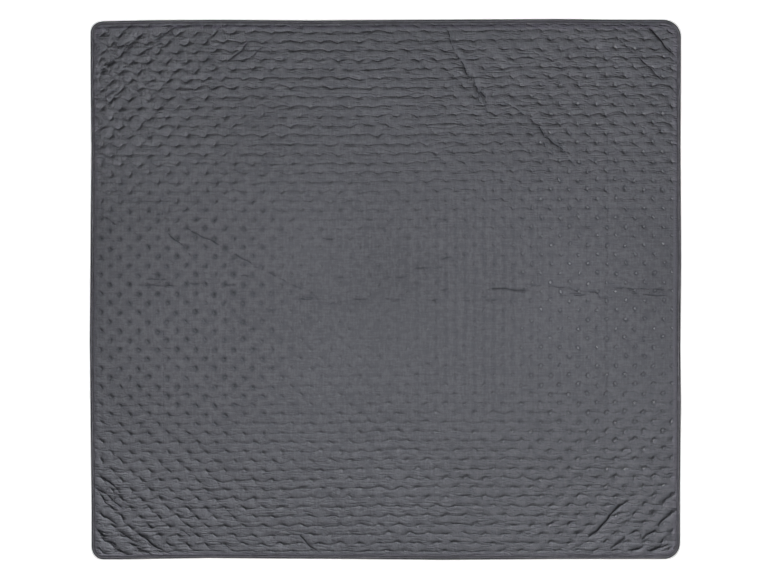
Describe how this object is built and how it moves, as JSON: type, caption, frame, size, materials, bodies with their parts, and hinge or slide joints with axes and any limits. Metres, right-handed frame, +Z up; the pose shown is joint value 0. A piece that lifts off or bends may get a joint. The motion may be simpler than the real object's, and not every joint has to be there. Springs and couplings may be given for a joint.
{
  "type": "quilted blanket",
  "caption": "Dark grey quilted blanket laid flat, with small pressed tacks in a diamond lattice, puckered puffs between them and a narrow binding round its rounded corners.",
  "frame": {"origin": "middle of the blanket's flat underside, on the surface that it lies on", "axes": "+X to the right along the wide side, +Y towards the top edge as pictured, +Z up out of the quilted face"},
  "size_m": [2.1995, 2.0114, 0.0097],
  "materials": {
    "cloth": "dark grey brushed microfibre with a faint sheen, quilted with small pressed tacks",
    "binding": "dark grey woven tape folded over the edge and stitched down"
  },
  "bodies": {
    "root": {"quilted_panel": "cloth", "edge_binding": "binding"}
  },
  "joints": []
}
